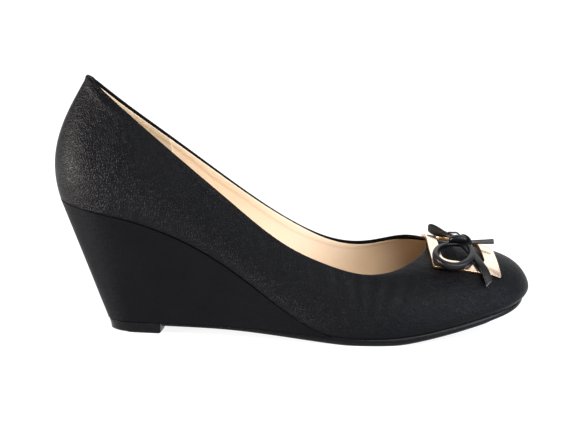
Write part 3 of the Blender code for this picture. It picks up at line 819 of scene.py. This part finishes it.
def strap(name, rows, facing, closed, slant, groove):
    """A folded strap along rows of x, y, z, width and thickness in millimetres. Its width points along
    facing, its end is cut at a slant, and a groove runs along it where its rolled edges meet."""
    rows = along_rows(rows, 5, closed)
    sides = 16
    squareness = 0.7  # 1 gives an oval, less a fuller shape
    groove_width = 0.4  # as a share of half the strap's width
    shape = bmesh.new()
    rings = []
    count = len(rows)
    for index, row in enumerate(rows):
        before = rows[(index - 1) % count if closed else max(index - 1, 0)]
        after = rows[(index + 1) % count if closed else min(index + 1, count - 1)]
        way = (Vector(after[0:3]) - Vector(before[0:3])).normalized()
        wide = (Vector(facing) - Vector(facing).dot(way) * way).normalized()
        thick = way.cross(wide)
        ring = []
        for side in range(sides):
            turn = (side + 0.5) / sides * math.tau
            across = math.copysign(abs(math.cos(turn)) ** squareness, math.cos(turn))
            up = math.copysign(abs(math.sin(turn)) ** squareness, math.sin(turn))
            up *= 1 - groove * math.exp(-((across / groove_width) ** 2))
            spot = Vector(row[0:3]) + across * row[3] / 2 * wide + up * row[4] / 2 * thick
            if not closed and index == count - 1:
                spot += across * slant * way
            ring.append(shape.verts.new(spot * 0.001))
        rings.append(ring)
    faces = []
    for ring, after in zip(rings, rings[1:] + (rings[:1] if closed else [])):
        for side in range(sides):
            step = (side + 1) % sides
            faces.append(shape.faces.new((ring[side], ring[step], after[step], after[side])))
    if not closed:
        shape.faces.new(rings[0][::-1])
        end = shape.faces.new(rings[-1])
        end.material_index = 1
    bmesh.ops.recalc_face_normals(shape, faces=shape.faces)
    mesh = bpy.data.meshes.new(name)
    shape.to_mesh(mesh)
    shape.free()
    piece = bpy.data.objects.new(name, mesh)
    bpy.context.scene.collection.objects.link(piece)
    if not closed:
        sharp = math.radians(50)
        finish_with(piece, "BEVEL", width=0.0002, segments=1, limit_method="ANGLE", angle_limit=sharp)
    finish_with(piece, "SUBSURF", levels=1, render_levels=1)
    piece.data.shade_smooth()
    return piece


# The strap's parts as rows of x, y, z, width and thickness in millimetres. The
# loops close on themselves under the knot.
near_loop = [
    (146.9, -14.3, 40.2, 3.8, 2.9),
    (148.3, -19.3, 38.3, 3.8, 3.1),
    (151.6, -21.6, 36.7, 3.9, 3.3),
    (156.4, -21.5, 35.9, 4.0, 3.5),
    (161.1, -18.9, 36.5, 4.0, 3.5),
    (164.5, -13.7, 38.3, 3.9, 3.5),
    (165.2, -7.4, 40.4, 3.6, 3.4),
    (163.4, -2.8, 41.8, 2.8, 2.8),
    (158.9, -1.2, 42.3, 2.0, 2.0),
    (153.6, -2.6, 42.4, 2.2, 2.0),
    (149.0, -7.8, 41.8, 3.2, 2.5),
]
far_loop = [
    (157.6, 1.6, 44.9, 2.2, 1.7),
    (155.7, 2.8, 45.2, 2.1, 1.7),
    (154.0, 4.4, 45.6, 2.3, 1.7),
    (151.9, 6.8, 45.9, 3.6, 1.7),
    (149.8, 9.4, 46.2, 4.9, 1.7),
    (147.8, 12.2, 46.5, 5.4, 1.7),
    (146.3, 14.6, 46.7, 5.0, 1.6),
    (145.6, 16.2, 46.5, 3.6, 1.5),
    (146.9, 17.4, 46.0, 3.0, 1.6),
    (149.6, 16.0, 45.4, 3.0, 1.7),
    (153.4, 12.2, 44.8, 2.4, 1.7),
    (157.4, 6.4, 44.4, 2.0, 1.7),
]
front_tail = [
    (159.4, 1.6, 43.3, 2.2, 1.6),
    (164.8, 2.2, 42.8, 2.1, 1.5),
    (170.2, 3.3, 42.8, 2.3, 1.5),
    (173.7, 4.0, 42.8, 2.5, 1.5),
    (177.1, 4.7, 42.9, 2.7, 1.5),
]
near_tail = [
    (159.2, 1.3, 43.8, 2.8, 1.9),
    (162.3, -3.8, 41.5, 3.4, 1.8),
    (165.1, -8.5, 39.6, 3.8, 1.7),
    (167.2, -12.5, 37.8, 4.1, 1.6),
    (169.5, -16.5, 35.5, 4.2, 1.6),
    (171.6, -19.8, 32.5, 4.2, 1.5),
    (173.1, -23.3, 28.1, 4.0, 1.4),
]
knot_core = [
    (155.0, 2.6, 44.0, 2.2, 2.2),
    (157.0, 2.6, 44.3, 3.4, 3.2),
    (159.6, 2.4, 44.4, 3.6, 3.4),
    (162.0, 2.0, 44.1, 3.2, 3.0),
    (163.4, 1.8, 43.6, 2.2, 2.2),
]
knot_pillow = [
    (154.4, -0.4, 43.8, 1.6, 1.6),
    (155.8, -0.9, 44.5, 3.2, 2.8),
    (157.8, -1.3, 45.1, 4.1, 3.6),
    (160.6, -1.3, 45.1, 4.1, 3.6),
    (162.2, -1.0, 44.5, 3.2, 2.8),
    (162.9, -0.6, 43.9, 1.8, 1.8),
]
knot_wrap = [
    (159.6, 3.4, 45.0, 2.0, 1.4),
    (161.4, 2.0, 45.9, 2.2, 1.4),
    (163.3, 0.4, 45.3, 2.4, 1.4),
    (164.5, -1.4, 43.9, 2.5, 1.5),
    (164.7, -3.4, 42.0, 2.4, 1.5),
]
knot_fold = [
    (153.7, 4.4, 45.2, 1.8, 0.8),
    (154.3, 4.9, 46.8, 2.0, 0.8),
    (156.6, 5.0, 46.9, 2.2, 0.8),
    (158.9, 4.8, 46.8, 2.0, 0.8),
    (160.4, 3.9, 45.4, 1.8, 0.8),
]
strap_leather = black_leather(
    "folded_black_strap_leather", "#050609", "#090A0D", grain=0.6, relief=0.3, rough=0.34, shine=0.27
)
# Cut leather: the strap is cut off with a knife, which leaves pale grey, matt
# fibres. They are drawn 0.3 mm wide, coarser than real ones so that they show.
cut_edge, shader = new_finish("cut_leather_edge")
place = add(cut_edge, "ShaderNodeTexCoord")
fibres = add(cut_edge, "ShaderNodeTexNoise", {"Scale": 3000.0}, {"Vector": place.outputs["Object"]})
tone = add(
    cut_edge,
    "ShaderNodeMix",
    {"A": colour("#2A2A2C"), "B": colour("#77787A")},
    {"Factor": fibres.outputs["Fac"]},
    data_type="RGBA",
)
cut_edge.node_tree.links.new(tone.outputs["Result"], shader.inputs["Base Color"])
shader.inputs["Roughness"].default_value = 0.8
# Each piece with its rows, facing, whether it closes, slant in mm and groove.
for name, rows, facing, closed, slant, groove in (
    ("bow_near_loop", near_loop, (0.0, -0.45, 0.9), True, 0.0, 0.0),
    ("bow_far_loop", far_loop, (0.0, 0.0, 1.0), True, 0.0, 0.0),
    ("bow_front_tail", front_tail, (0.0, 0.5, 0.87), False, 0.0, 0.15),
    ("bow_near_tail", near_tail, (1.0, 0.3, 0.0), False, -1.6, 0.12),
    ("bow_knot_core", knot_core, (0.0, 0.0, 1.0), False, 0.0, 0.0),
    ("bow_knot", knot_pillow, (0.0, -0.35, 0.94), False, 0.0, 0.0),
    ("bow_knot_wrap", knot_wrap, (0.8, -0.2, 0.5), False, 0.0, 0.0),
    ("bow_knot_fold", knot_fold, (0.0, 1.0, 0.0), False, 0.0, 0.0),
):
    piece = strap(name, rows, facing, closed, slant, groove)
    piece.data.materials.append(strap_leather)
    piece.data.materials.append(cut_edge)
    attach(piece, "root")
    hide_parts("bow")
